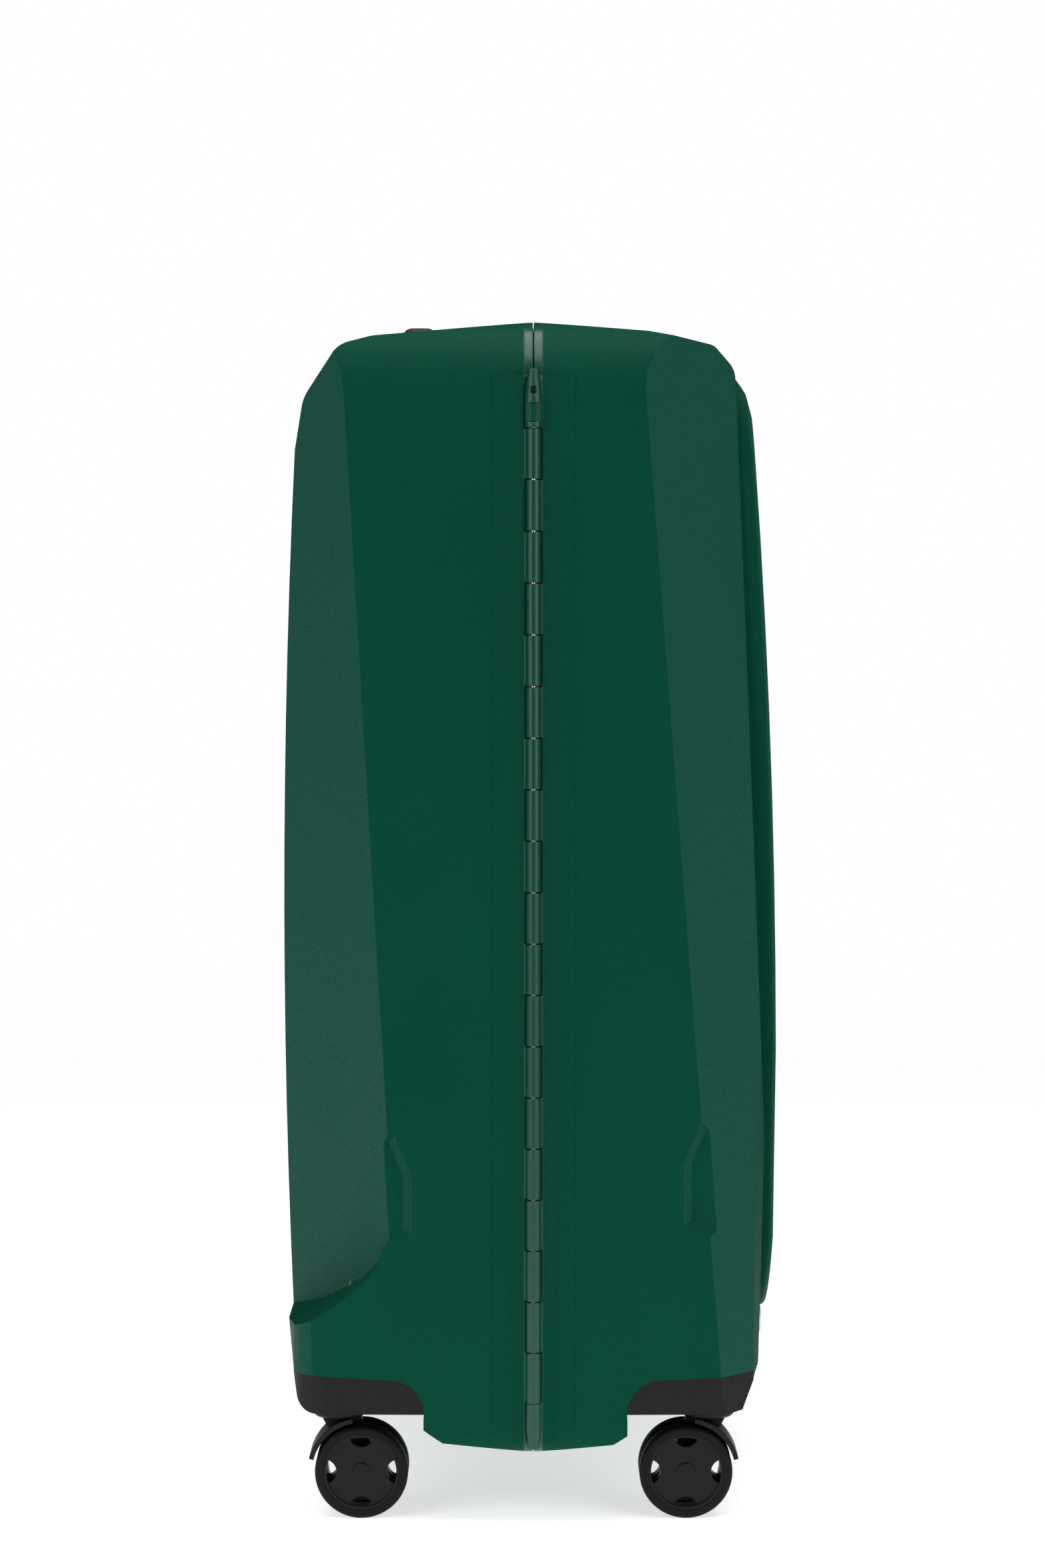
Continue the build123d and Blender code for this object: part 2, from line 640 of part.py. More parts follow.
def corner_housing(side, hand, whole):
    """Black corner moulding that closes the wheel bay and carries the swivel bearing."""
    swivel = at(side, hand * SWIVEL_X, axle_distance(side) + TRAIL, HOUSING_LOW_Z)
    with BuildPart() as housing:
        add(whole)
        add(bay_cutter(side, 0), mode=Mode.INTERSECT)
        add(block(side, (hand * BAY_INNER_X, hand * (SIDE_X + EXTRA)), (0, 200),
                  (HOUSING_LOW_Z, BAY_TOP_Z + EXTRA)), mode=Mode.INTERSECT)
        add(housing_hollow(side, hand), mode=Mode.SUBTRACT)
        with Locations(swivel):
            Cylinder(STEM_RADIUS + PIN_CLEARANCE, 2 * STEM_DEPTH, mode=Mode.SUBTRACT)
        with Locations(*screw_places(side, hand)):
            Cylinder(SCREW_HEAD_RADIUS + 0.1, 2 * SCREW_HEAD_HEIGHT + 0.8, mode=Mode.SUBTRACT)
            Cylinder(SCREW_RADIUS, 2 * SCREW_LENGTH, mode=Mode.SUBTRACT)
    return housing.part


def corner_screws(side):
    """Cross-head screws let into the undersides of one half's corner housings."""
    with BuildPart() as screws:
        for hand in (-1, 1):
            for x, y, z in screw_places(side, hand):
                with BuildSketch(Plane((x, y, z + 0.4))):
                    Circle(SCREW_HEAD_RADIUS)
                extrude(amount=SCREW_HEAD_HEIGHT)
                with BuildSketch(Plane((x, y, z + 0.4))):
                    Circle(SCREW_RADIUS)
                extrude(amount=SCREW_LENGTH - 1)
                with BuildSketch(Plane((x, y, z + 0.4))):
                    RectangleRounded(3.8, 0.9, 0.3)
                    RectangleRounded(0.9, 3.8, 0.3)
                extrude(amount=1.0, mode=Mode.SUBTRACT)
    return screws.part


def fender_sector(axle_d):
    """Corner points of the sector that the fender covers, seen along the axle."""
    reach = 2 * WHEEL_RADIUS
    rim = [(axle_d + reach * math.cos(math.radians(angle)),
            WHEEL_RADIUS + reach * math.sin(math.radians(angle))) for angle in (FENDER_FROM, FENDER_TO)]
    return [(axle_d, WHEEL_RADIUS), *rim, (axle_d, WHEEL_RADIUS)]


def fork(side, hand):
    """Swivel fork: stem, round crown, central web down to the axle, and a fender."""
    axle_d = axle_distance(side)
    swivel = Plane(at(side, hand * SWIVEL_X, axle_d + TRAIL, FORK_TOP_Z))
    middle = side_view(side, hand * SWIVEL_X)
    with BuildPart() as part:
        with BuildSketch(swivel.offset(-CROWN_HEIGHT)):
            Circle(CROWN_RADIUS)
        extrude(amount=CROWN_HEIGHT)
        chamfer(part.edges().group_by(Axis.Z)[0], 1.2)
        with BuildSketch(swivel):
            Circle(STEM_RADIUS)
        extrude(amount=STEM_DEPTH)
        with BuildSketch(middle):
            with BuildLine():
                Polyline((axle_d - 7, WHEEL_RADIUS), (axle_d + 1, FORK_TOP_Z - 4),
                         (axle_d + TRAIL + 12, FORK_TOP_Z - 4), (axle_d + 7.4, WHEEL_RADIUS),
                         (axle_d - 7, WHEEL_RADIUS))
            make_face()
            with Locations((axle_d, WHEEL_RADIUS)):
                Circle(7.5)
        extrude(amount=FORK_WEB / 2, both=True)
        with BuildSketch(middle):
            with BuildLine():
                Polyline(*fender_sector(axle_d))
            make_face()
            with Locations((axle_d, WHEEL_RADIUS)):
                Circle(WHEEL_RADIUS + 4.4, mode=Mode.INTERSECT)
                Circle(WHEEL_RADIUS + 1.6, mode=Mode.SUBTRACT)
        extrude(amount=FENDER_HALF, both=True)
        with Locations(Location(at(side, hand * SWIVEL_X, axle_d, WHEEL_RADIUS), (0, 90, 0))):
            Cylinder(AXLE_RADIUS + PIN_CLEARANCE, 60, mode=Mode.SUBTRACT)
    return part.part


def disc_planes(side, hand):
    """Planes of the inner faces of a caster's two discs, facing away from each other."""
    return [Plane(origin=at(side, hand * SWIVEL_X + face * (FORK_WEB / 2 + DISC_GAP),
                            axle_distance(side), WHEEL_RADIUS), x_dir=(0, 1, 0), z_dir=(face, 0, 0))
            for face in (-1, 1)]


def tread(plane):
    """Soft tread ring with rounded shoulders."""
    with BuildPart() as ring:
        with BuildSketch(plane):
            Circle(WHEEL_RADIUS)
            Circle(RIM_RADIUS, mode=Mode.SUBTRACT)
        extrude(amount=DISC_WIDTH)
        outer = [edge for edge in ring.edges().filter_by(GeomType.CIRCLE)
                 if edge.radius > WHEEL_RADIUS - 0.1]
        fillet(outer, 2.6)
    return ring.part


def hub(plane):
    """Wheel disc with a recessed cap, a plain boss and four half-moon openings."""
    with BuildPart() as disc:
        with BuildSketch(plane):
            Circle(RIM_RADIUS)
            with PolarLocations(MOON_CENTRE, 4):
                Circle(MOON_RADIUS, mode=Mode.SUBTRACT)
        extrude(amount=DISC_WIDTH - CAP_RECESS)
        with BuildSketch(plane):
            Circle(RIM_RADIUS)
            Circle(RIM_RADIUS - 1.7, mode=Mode.SUBTRACT)
        extrude(amount=DISC_WIDTH - 0.3)
        with BuildSketch(plane.offset(DISC_WIDTH - CAP_RECESS)):
            Circle(5.2)
        extrude(amount=0.9)
        with BuildSketch(plane):
            Circle(AXLE_RADIUS)
        extrude(amount=DISC_WIDTH - 5, mode=Mode.SUBTRACT)
    return disc.part


def wheel_pair(side, hand, maker):
    """The same ring or disc on both sides of the fork, as one group."""
    with BuildPart() as pair:
        for plane in disc_planes(side, hand):
            add(maker(plane))
    return pair.part


def axle(side, hand):
    length = FORK_WEB + 2 * (DISC_GAP + DISC_WIDTH - 5)
    with BuildPart() as rod:
        with Locations(Location(at(side, hand * SWIVEL_X, axle_distance(side), WHEEL_RADIUS), (0, 90, 0))):
            Cylinder(AXLE_RADIUS, length)
    return rod.part


# ---- latches and lock

def latch_section(z_half, height, points, circle_radius):
    """Extruded latch piece: an outline in width and distance, joined to a round pin boss."""
    plane = Plane(origin=(0, PARTING_Y, height - z_half), x_dir=(1, 0, 0), z_dir=(0, 0, 1))
    with BuildPart() as piece:
        with BuildSketch(plane):
            with BuildLine():
                Polyline(*points, points[0])
            make_face()
            with Locations((LATCH_PIN_X, -LATCH_PIN_D)):
                Circle(circle_radius)
        extrude(amount=2 * z_half)
    return piece.part


def latch_pin_hole(height):
    with BuildPart() as hole:
        with Locations((LATCH_PIN_X, PARTING_Y - LATCH_PIN_D, height)):
            Cylinder(PIN_RADIUS + PIN_CLEARANCE, 60)
    return hole.part


def latch_lever(height):
    """Lever plate with its pivot boss and the hook that catches behind the keeper."""
    plate_in = LEVER_OUT_X - 2.8
    points = [(plate_in, -LATCH_PIN_D), (LEVER_OUT_X - 0.6, -LATCH_PIN_D), (LEVER_OUT_X, -LATCH_PIN_D + 3),
              (LEVER_OUT_X, 10.5), (LEVER_OUT_X - 1.5, 12), (HOOK_TIP_X, 12), (HOOK_TIP_X, 9),
              (plate_in, 9), (plate_in, -LATCH_PIN_D + 5), (LATCH_PIN_X, -LATCH_PIN_D + 2)]
    with BuildPart() as lever:
        add(latch_section(LEVER_HALF, height, points, LATCH_BOSS_RADIUS))
        fillet(lever.edges().filter_by(Axis.Y).group_by(Axis.X)[-1], 1.0)
        add(latch_pin_hole(height), mode=Mode.SUBTRACT)
    return lever.part


def latch_base(height):
    """Foot plate on the front half, with an ear at each end for the lever's pin."""
    plate = [(SIDE_X, -LATCH_PIN_D - 5), (SIDE_X + 2.1, -LATCH_PIN_D - 5), (SIDE_X + 2.1, -4), (SIDE_X, -4)]
    ear = [(SIDE_X, -LATCH_PIN_D - 5), (LATCH_PIN_X, -LATCH_PIN_D - 3), (LATCH_PIN_X + 1, -LATCH_PIN_D + 2.5),
           (SIDE_X, -12)]
    with BuildPart() as base:
        plane = Plane(origin=(0, PARTING_Y, height - LATCH_EAR_OUT), x_dir=(1, 0, 0), z_dir=(0, 0, 1))
        with BuildSketch(plane):
            with BuildLine():
                Polyline(*plate, plate[0])
            make_face()
        extrude(amount=2 * LATCH_EAR_OUT)
        width = LATCH_EAR_OUT - LEVER_HALF - FIT_GAP
        for low in (height - LATCH_EAR_OUT + width / 2, height + LATCH_EAR_OUT - width / 2):
            add(latch_section(width / 2, low, ear, 3.2))
        add(latch_pin_hole(height), mode=Mode.SUBTRACT)
    return base.part


def latch_pins():
    with BuildPart() as pins:
        for height in LATCH_HEIGHTS.values():
            with Locations((LATCH_PIN_X, PARTING_Y - LATCH_PIN_D, height)):
                Cylinder(PIN_RADIUS, 2 * LATCH_EAR_OUT - 0.4)
    return pins.part


def keeper(height):
    """Foot plate on the back half with the bar that the hook catches behind."""
    zs = (height - KEEPER_HALF, height + KEEPER_HALF)
    with BuildPart() as part:
        add(block(1, (SIDE_X, SIDE_X + 1), (2.0, 14.5), zs))
        add(block(1, (SIDE_X, KEEPER_TOP_X), (3.5, 8.0), zs))
    return part.part


def lock_housing():
    """Housing on the back half: hook recess and keeper, dial windows, key and button seats."""
    plane = Plane(origin=at(1, SIDE_X, 18, MIDDLE_Z), x_dir=(0, 0, 1), z_dir=(1, 0, 0))
    with BuildPart() as housing:
        add(rounded_bar(plane, 2 * LOCK_HALF, 32, LOCK_TOP_X - SIDE_X, 5))
        fillet(housing.faces().sort_by(Axis.X)[-1].edges(), 1.5)
        hook_zs = (MIDDLE_Z - KEEPER_HALF, MIDDLE_Z + KEEPER_HALF)
        add(block(1, (SIDE_X + 1, SIDE_X + 20), (0, 14.5), hook_zs), mode=Mode.SUBTRACT)
        add(block(1, (SIDE_X, KEEPER_TOP_X), (3.5, 8.0), hook_zs))
        for height in dial_heights():
            add(block(1, (SIDE_X + 0.5, SIDE_X + 20), (DIAL_D - 5.2, DIAL_D + 5.2),
                      (height - DIAL_WIDTH / 2 - 0.4, height + DIAL_WIDTH / 2 + 0.4)), mode=Mode.SUBTRACT)
        with Locations(at(1, DIAL_X, DIAL_D, MIDDLE_Z)):
            Cylinder(DIAL_AXLE_RADIUS, 2 * DIAL_PITCH + 12, mode=Mode.SUBTRACT)
        with Locations(Location(at(1, SIDE_X + 11.4, DIAL_D, MIDDLE_Z + KEY_OFFSET), (0, 90, 0))):
            Cylinder(KEY_RADIUS + PIN_CLEARANCE, 20, mode=Mode.SUBTRACT)
        add(rounded_bar(button_plane(BUTTON_FLOOR_X), 16.7, 12.7, 20, 2), mode=Mode.SUBTRACT)
    return housing.part


def dial_heights():
    return [MIDDLE_Z + step * DIAL_PITCH for step in (-1, 0, 1)]


def lock_dial(height):
    """Thumb wheel with ten finger notches."""
    plane = Plane(at(1, DIAL_X, DIAL_D, height - DIAL_WIDTH / 2))
    with BuildPart() as dial:
        with BuildSketch(plane):
            Circle(DIAL_RADIUS)
            with PolarLocations(DIAL_RADIUS + 0.25, 10):
                Circle(0.6, mode=Mode.SUBTRACT)
            Circle(DIAL_AXLE_RADIUS + PIN_CLEARANCE, mode=Mode.SUBTRACT)
        extrude(amount=DIAL_WIDTH)
    return dial.part


def dial_axle():
    with BuildPart() as rod:
        with Locations(at(1, DIAL_X, DIAL_D, MIDDLE_Z)):
            Cylinder(DIAL_AXLE_RADIUS, 2 * DIAL_PITCH + 11.6)
    return rod.part


def key_cylinder():
    """Round plug with a keyway slot."""
    plane = Plane(origin=at(1, SIDE_X + 1.6, DIAL_D, MIDDLE_Z + KEY_OFFSET), x_dir=(0, 0, 1), z_dir=(1, 0, 0))
    with BuildPart() as plug:
        with BuildSketch(plane):
            Circle(KEY_RADIUS)
        extrude(amount=LOCK_TOP_X - SIDE_X - 1.4)
        with BuildSketch(plane.offset(3)):
            RectangleRounded(4.2, 0.9, 0.4)
        extrude(amount=20, mode=Mode.SUBTRACT)
    return plug.part


def button_plane(x):
    return Plane(origin=at(1, x, DIAL_D, MIDDLE_Z - KEY_OFFSET), x_dir=(0, 0, 1), z_dir=(1, 0, 0))


def lock_button():
    with BuildPart() as button:
        add(rounded_bar(button_plane(BUTTON_FLOOR_X + 2.6), 16, 12, LOCK_TOP_X + 0.8 - BUTTON_FLOOR_X - 2.6,
                        1.7))
        fillet(button.faces().sort_by(Axis.X)[-1].edges(), 0.8)
    return button.part


# ---- soft furnishings

def lining(side):
    """Thin fabric tray that follows the inside of one half."""
    with BuildPart() as tray:
        add(cavity(side, WALL + LINING_GAP, RIM_DEPTH + 1))
        add(cavity(side, WALL + LINING_GAP + LINING_THICKNESS, RIM_DEPTH), mode=Mode.SUBTRACT)
        if side > 0:
            for xs, ds, zs in LINING_CUTS:
                add(block(side, xs, ds, zs), mode=Mode.SUBTRACT)
    return tray.part


def packing_straps():
    """Two flat straps across the floor of the back half."""
    with BuildPart() as straps:
        for height in STRAP_HEIGHTS:
            for hand in (-1, 1):
                add(block(1, (hand * 24, hand * 132), (STRAP_D, STRAP_D + 1.6), (height - 19, height + 19)))
    return straps.part


def strap_buckle(height):
    """Side-release buckle between the two ends of a strap."""
    plane = Plane(origin=at(1, 0, STRAP_D - 4, height), x_dir=(1, 0, 0), z_dir=(0, 1, 0))
    with BuildPart() as buckle:
        add(rounded_bar(plane, 47.6, 44, 7.5, 7))
        fillet(buckle.faces().sort_by(Axis.Y)[0].edges(), 1.5)
        for hand in (-1, 1):
            slot = Plane(origin=at(1, 0, STRAP_D - 5, height), x_dir=(1, 0, 0), z_dir=(0, 1, 0))
            with BuildSketch(slot):
                with Locations((hand * 15.5, 0)):
                    RectangleRounded(4, 36, 1.5)
            extrude(amount=20, mode=Mode.SUBTRACT)
    return buckle.part


def divider_board():
    """Padded divider laid against the inside of the front half."""
    plane = Plane(origin=at(-1, 0, DIVIDER_D, 365), x_dir=(1, 0, 0), z_dir=(0, -1, 0))
    return rounded_bar(plane, 356, 520, 4.0, 30)


def badge_plane(distance):
    return Plane(origin=at(-1, 0, distance, BADGE_Z), x_dir=(1, 0, 0), z_dir=(0, -1, 0))


def front_badge():
    """Blank oval-ended plate on its pad below the raised panel."""
    with BuildPart() as badge:
        add(rounded_bar(badge_plane(BADGE_PAD_D), BADGE_LENGTH, BADGE_WIDTH, 2.2, 8))
        fillet(badge.faces().sort_by(Axis.Y)[0].edges(), 1.4)
    return badge.part


# ---- build and save every piece

def hinge_pin():
    with BuildPart() as pin:
        with Locations((HINGE_X, PARTING_Y, (PIN_LOW_Z + PIN_HIGH_Z) / 2)):
            Cylinder(PIN_RADIUS, PIN_HIGH_Z - PIN_LOW_Z - 1)
    return pin.part


def plug_plane(x, z):
    return Plane(origin=(x, PARTING_Y, z), x_dir=(0, 1, 0), z_dir=(-1, 0, 0))


def hinge_plug():
    """Cover pressed into the top boss over the end of the hinge pin."""
    with BuildPart() as plug:
        add(rounded_bar(plug_plane(HINGE_X - 2.5, PLUG_Z), *PLUG_SIZE, PLUG_HEIGHT, 1.6))
        fillet(plug.faces().sort_by(Axis.X)[0].edges(), 0.6)
    return plug.part


def build_halves():
    """Both shells, their linings and the four corner housings."""
    for name, side in HALVES.items():
        whole = half_volume(side, 0, PARTING_GAP)
        with BuildPart() as part:
            add(shell(side, whole))
            if side > 0:
                add(seal_ring(SEAL_OUTER - 0.1, SEAL_INNER + 0.1, 0, SEAL_DEPTH + 0.1), mode=Mode.SUBTRACT)
                add(seat_cutter(BEZEL_PLANE, *BEZEL_FLANGE, *BEZEL_BODY), mode=Mode.SUBTRACT)
                for plane in (TOP_CUP_PLANE, SIDE_CUP_PLANE):
                    add(seat_cutter(plane, CUP_LENGTH, CUP_WIDTH, *CUP_BODY), mode=Mode.SUBTRACT)
            else:
                add(rounded_bar(badge_plane(129.5), BADGE_LENGTH + 8, BADGE_WIDTH + 6, BADGE_PAD_D - 129.5, 11))
                slot = (PLUG_SIZE[0] + 0.2, PLUG_SIZE[1] + 0.2)
                add(rounded_bar(plug_plane(HINGE_X - 2.5, PLUG_Z), *slot, 6, 1.7), mode=Mode.SUBTRACT)
                add(rounded_bar(plug_plane(HINGE_X - 2, 650), 3.0, 5.0, 6, 1.4), mode=Mode.SUBTRACT)
        save(name + "_shell", part.part)
        save(name + "_lining", lining(side))
        for edge, hand in (("left", -1), ("right", 1)):
            save(name + "_" + edge + "_corner", corner_housing(side, hand, whole))


def build_casters():
    for name, side, hand in caster_places():
        save(name + "_fork", fork(side, hand))
        save(name + "_axle", axle(side, hand))
        save(name + "_wheel_discs", wheel_pair(side, hand, hub))
        save(name + "_tyres", wheel_pair(side, hand, tread))


def build_trolley():
    for edge, side_x in (("left", -TUBE_X), ("right", TUBE_X)):
        for stage, label in enumerate(("outer", "middle", "inner")):
            save(edge + "_" + label + "_tube", tube(side_x, stage))
    save("trolley_bezel", trolley_bezel())
    save("trolley_grip", trolley_grip())
    save("trolley_button", trolley_button())
    save("tube_feet", tube_feet())


def build_latches():
    with BuildPart() as bases:
        for height in LATCH_HEIGHTS.values():
            add(latch_base(height))
    save("latch_bases", bases.part)
    save("latch_pins", latch_pins())
    for label, height in LATCH_HEIGHTS.items():
        save(label + "_latch", latch_lever(height))
    with BuildPart() as keepers:
        for label in ("upper", "lower"):
            add(keeper(LATCH_HEIGHTS[label]))
    save("latch_keepers", keepers.part)
    save("lock_housing", lock_housing())
    for number, height in enumerate(dial_heights(), start=1):
        save("lock_dial_" + str(number), lock_dial(height))
    save("dial_axle", dial_axle())
    save("key_cylinder", key_cylinder())
    save("lock_button", lock_button())


def build_small_parts():
    save("hinge_pin", hinge_pin())
    save("hinge_plug", hinge_plug())
    save("closure_seal", seal_ring(SEAL_OUTER, SEAL_INNER, 0, SEAL_DEPTH))
    for name, side in HALVES.items():
        save(name + "_corner_screws", corner_screws(side))
    save("front_badge", front_badge())
    save("divider_board", divider_board())
    save("packing_straps", packing_straps())
    with BuildPart() as buckles:
        for height in STRAP_HEIGHTS:
            add(strap_buckle(height))
    save("strap_buckles", buckles.part)
    for label, plane in (("top", TOP_CUP_PLANE), ("side", SIDE_CUP_PLANE)):
        save(label + "_handle_cup", handle_cup(plane))
        save(label + "_handle", carry_handle(plane))


build_halves()
build_casters()
build_trolley()
build_latches()
build_small_parts()
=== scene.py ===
import bmesh
import bpy
import json
import math
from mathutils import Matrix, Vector, noise
from mathutils.bvhtree import BVHTree


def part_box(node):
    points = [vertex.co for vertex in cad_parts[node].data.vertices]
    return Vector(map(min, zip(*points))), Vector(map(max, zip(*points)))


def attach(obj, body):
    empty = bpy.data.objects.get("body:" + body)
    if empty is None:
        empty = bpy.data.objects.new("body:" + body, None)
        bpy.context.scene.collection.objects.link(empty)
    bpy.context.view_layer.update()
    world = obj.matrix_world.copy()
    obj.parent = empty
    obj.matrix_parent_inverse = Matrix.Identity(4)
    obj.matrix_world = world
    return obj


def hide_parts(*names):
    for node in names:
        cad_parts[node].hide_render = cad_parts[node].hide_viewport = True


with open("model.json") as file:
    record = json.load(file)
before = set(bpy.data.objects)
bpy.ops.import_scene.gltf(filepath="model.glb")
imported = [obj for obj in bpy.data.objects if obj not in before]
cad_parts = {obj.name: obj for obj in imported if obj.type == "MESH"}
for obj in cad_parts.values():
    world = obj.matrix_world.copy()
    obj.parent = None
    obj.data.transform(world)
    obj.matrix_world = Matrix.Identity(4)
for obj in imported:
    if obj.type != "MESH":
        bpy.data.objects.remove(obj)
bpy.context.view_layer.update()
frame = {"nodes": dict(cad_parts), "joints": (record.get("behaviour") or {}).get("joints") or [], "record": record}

# ---- lengths in metres, in the frame's own axes
RECORD_JOINTS = {joint["name"]: joint for joint in frame["joints"]}
PARTING_Y = RECORD_JOINTS["case_hinge"]["pos_m"][1]
GRAIN_SIZE = 0.0011
TWILL_PITCH = 0.0016
WITNESS_LINE = 0.0241
FABRIC_PITCH = 0.0012

# ---- cloth trays, divider pad and straps
SPINE_MIDDLE_Z = 0.365
SPINE_HALF = 0.10
TRAY_COLUMNS = 320
TRAY_RINGS = 72
CLOTH_OFF = 0.0003
WRINKLE_DEPTH = 0.0011
HEM_RADIUS = 0.0012
PAD_COLUMNS = 90
PAD_ROWS = 130
PAD_CORNER = 0.030
QUILT_PITCH = 0.052
QUILT_DEPTH = 0.0011
EDGE_ROUND = 0.006
STRAP_COLUMNS = 54
STRAP_ROWS = 14
STRAP_SLACK = 0.0007
BINDING_POINTS = 240
BINDING_INSET = 0.996

# ---- camera: level with the upper part of the hinge side, looking slightly down
CAMERA_PLACE = (-2.645, 0.0047, 0.547)
CAMERA_PITCH = math.radians(2.85)
CAMERA_LENS = 97.45
SENSOR = 36.0

# ---- studio
WORLD_FILL = 0.03
FLOOR_RADIUS = 3.0
FLOOR_FADE = 0.5
FLOOR_GREY = (0.90, 0.90, 0.90)
FLOOR_GLOW = 0.62
SIDE_POWER = 34.0
RIM_POWER = 3.0
TOP_POWER = 48.0
LIGHTS_AIM = (0, 0, 0.36)


def shade(colour, factor):
    """The colour made darker or lighter by a factor."""
    return tuple(channel * factor for channel in colour)


class Nodes:
    """Short way to build a procedural material; keeps the shader and adds nodes in a few words."""

    def __init__(self, name, colour, roughness, metallic=0.0, specular=0.5, coat=0.0, coat_roughness=0.1):
        self.material = bpy.data.materials.new(name)
        self.material.use_nodes = True
        self.tree = self.material.node_tree
        self.shader = self.tree.nodes["Principled BSDF"]
        self.shader.inputs["Base Color"].default_value = (*colour, 1)
        self.shader.inputs["Roughness"].default_value = roughness
        self.shader.inputs["Metallic"].default_value = metallic
        self.shader.inputs["Specular IOR Level"].default_value = specular
        self.shader.inputs["Coat Weight"].default_value = coat
        self.shader.inputs["Coat Roughness"].default_value = coat_roughness
        self.material.diffuse_color = (*colour, 1)

    def add(self, kind):
        return self.tree.nodes.new(kind)

    def link(self, source, target):
        self.tree.links.new(source, target)

    def math(self, operation, first, second=None):
        node = self.add("ShaderNodeMath")
        node.operation = operation
        for socket, value in zip(node.inputs, (first, second)):
            if value is None:
                continue
            if isinstance(value, (int, float)):
                socket.default_value = value
            else:
                self.link(value, socket)
        return node.outputs[0]

    def place(self):
        """Object coordinates, which are the frame's own metres, as x, y and z."""
        coordinates = self.add("ShaderNodeTexCoord")
        split = self.add("ShaderNodeSeparateXYZ")
        self.link(coordinates.outputs["Object"], split.inputs[0])
        return coordinates.outputs["Object"], split.outputs

    def noise(self, vector, size, detail=2.0, rough=0.5):
        node = self.add("ShaderNodeTexNoise")
        self.link(vector, node.inputs["Vector"])
        node.inputs["Scale"].default_value = 1 / size
        node.inputs["Detail"].default_value = detail
        node.inputs["Roughness"].default_value = rough
        return node.outputs["Fac"]

    def ramp(self, value, low, high, to_low=0.0, to_high=1.0, smooth=False):
        node = self.add("ShaderNodeMapRange")
        if smooth:
            node.interpolation_type = "SMOOTHSTEP"
        self.link(value, node.inputs["Value"])
        for key, number in (("From Min", low), ("From Max", high), ("To Min", to_low), ("To Max", to_high)):
            node.inputs[key].default_value = number
        return node.outputs[0]

    def mix(self, factor, first, second):
        node = self.add("ShaderNodeMix")
        node.data_type = "RGBA"
        self.link(factor, node.inputs["Factor"])
        for socket, value in ((node.inputs["A"], first), (node.inputs["B"], second)):
            if isinstance(value, tuple):
                socket.default_value = (*value, 1)
            else:
                self.link(value, socket)
        return node.outputs["Result"]

    def bump(self, height, distance, strength=1.0, radius=0.0):
        """Bump on the shader's normal; a radius also rounds hard edges in the shading."""
        node = self.add("ShaderNodeBump")
        node.inputs["Distance"].default_value = distance
        node.inputs["Strength"].default_value = strength
        self.link(height, node.inputs["Height"])
        if radius:
            bevel = self.add("ShaderNodeBevel")
            bevel.samples = 4
            bevel.inputs["Radius"].default_value = radius
            self.link(bevel.outputs[0], node.inputs["Normal"])
        self.link(node.outputs[0], self.shader.inputs["Normal"])

    def vary(self, value, colour, low=0.85, high=1.15):
        """Colour that drifts a little lighter and darker with value."""
        self.link(self.mix(value, shade(colour, low), shade(colour, high)), self.shader.inputs["Base Color"])


# ---- colours, linear
SHELL_GREEN = (0.0007, 0.052, 0.030)
# painted light: the bevels' green is lighter than the panels' green, to stand in for the side lamps falling on
# them
BEVEL_GREEN_PAINTED_LIGHT = (0.004, 0.068, 0.046)
TYRE_BLACK = (0.004, 0.004, 0.0036)


